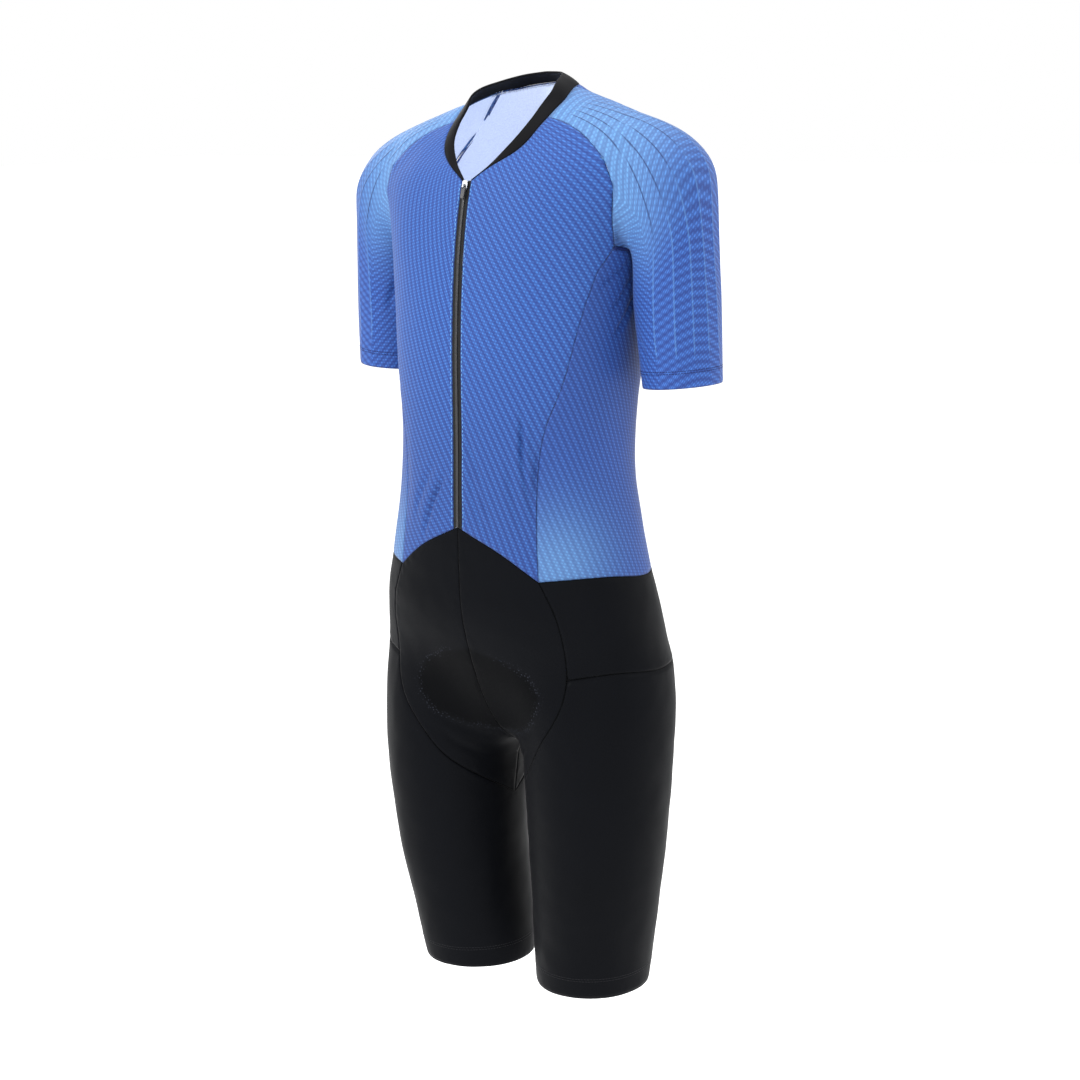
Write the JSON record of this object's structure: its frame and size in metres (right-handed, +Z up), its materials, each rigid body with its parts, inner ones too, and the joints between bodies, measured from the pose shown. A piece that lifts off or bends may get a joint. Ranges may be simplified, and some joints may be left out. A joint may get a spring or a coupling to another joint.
{
  "type": "short-sleeve aero suit",
  "caption": "One-piece close-fitting cycling speedsuit with ribbed short sleeves, a full front zip and padded shorts, hollow and filled out as worn.",
  "frame": {"origin": "base of the neck, midway between the shoulders, where the wearer's shoulders carry the suit", "axes": "+Z up, -Y out of the front where the zip is, +X towards the wearer's left"},
  "size_m": [0.471, 0.2486, 1.01],
  "materials": {
    "printed_knit": "matt stretch knit, royal blue with small brighter dashes",
    "side_knit": "matt stretch knit, blue with slanting stripes",
    "sleeve_knit": "ribbed stretch knit, pale blue at the shoulder to royal blue at the cuff",
    "black_lycra": "smooth black lycra with a soft sheen",
    "black_binding": "folded black elastic binding",
    "black_tape": "woven black zip tape",
    "black_plastic": "black zip teeth and pull tab",
    "slider_metal": "bright zip slider",
    "pad_foam": "black padded insert"
  },
  "bodies": {
    "suit": {"front_left": "printed_knit", "front_right": "printed_knit", "side_left": "side_knit", "side_right": "side_knit", "back": "printed_knit", "sleeve_left": "sleeve_knit", "sleeve_right": "sleeve_knit", "neck_binding": "black_binding", "zip_tape_left": "black_tape", "zip_tape_right": "black_tape", "zip_chain": "black_plastic", "zip_slider": "slider_metal", "shorts_front_left": "black_lycra", "shorts_front_right": "black_lycra", "hip_left": "black_lycra", "hip_right": "black_lycra", "leg_left": "black_lycra", "leg_right": "black_lycra", "seat_left": "black_lycra", "seat_right": "black_lycra", "seat_pad": "pad_foam"},
    "pull_tab": {"zip_pull_tab": "black_plastic"}
  },
  "joints": [
    {"name": "pull_tab_swing", "type": "hinge", "parent": "suit", "child": "pull_tab", "pos_m": [0, -0.10359, -0.07862], "axis": [-1, 0, 0], "range_deg": [0, 165]}
  ]
}
